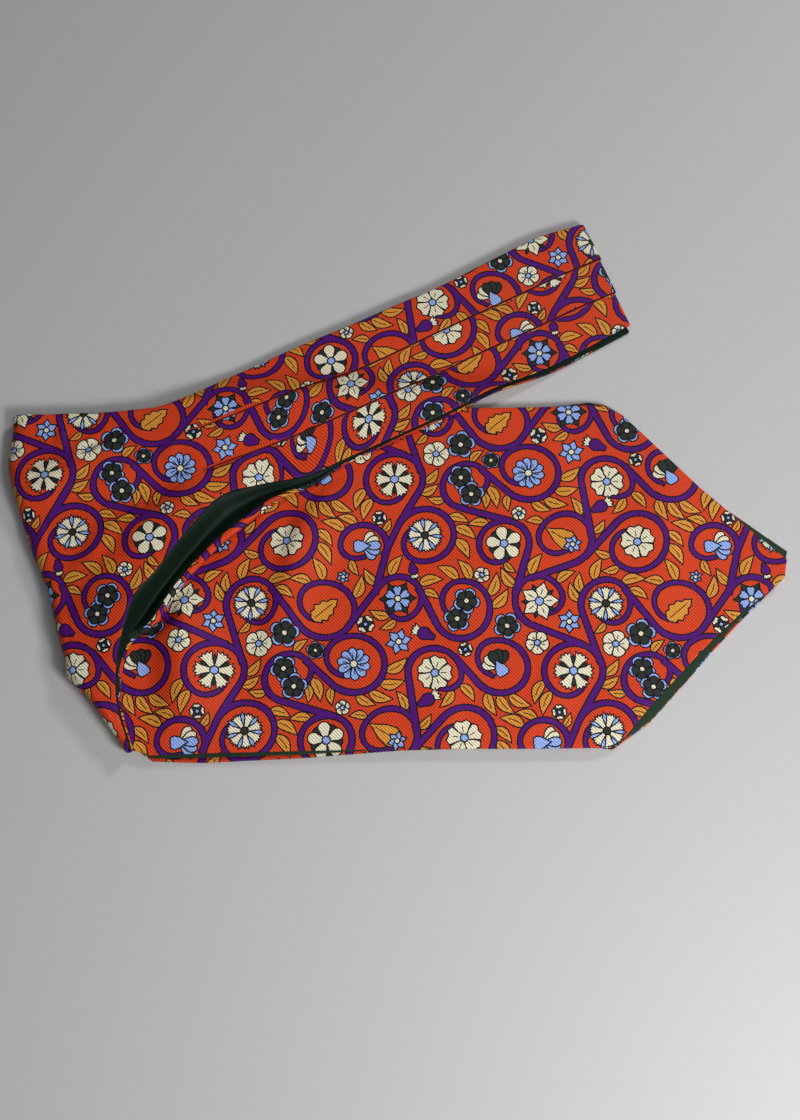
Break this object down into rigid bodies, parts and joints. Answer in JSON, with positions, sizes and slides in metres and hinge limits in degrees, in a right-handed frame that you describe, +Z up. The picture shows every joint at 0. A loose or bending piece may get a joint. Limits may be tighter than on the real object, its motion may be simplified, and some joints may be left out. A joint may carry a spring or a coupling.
{
  "type": "silk cravat",
  "caption": "Folded silk day cravat lying flat: pleated neckband and fan over two pointed blades, with a dark lining in the open fold.",
  "frame": {"origin": "centre of the bounding box's bottom, on the surface the cravat lies on", "axes": "+Z up from that surface, +X from the left fold towards the blades' points, +Y from the blades towards the neckband"},
  "size_m": [0.3458, 0.2516, 0.0119],
  "materials": {
    "print": "silk twill, orange ground with an all-over scrolling vine and flower print, soft sheen",
    "lining": "very dark green silk, smooth and satin-like"
  },
  "bodies": {
    "root": {"outer_band": "print", "inner_lining": "lining", "inner_band": "print", "top_blade": "print", "folded_layers": "lining", "bottom_lining": "lining", "bottom_blade": "print"}
  },
  "joints": []
}
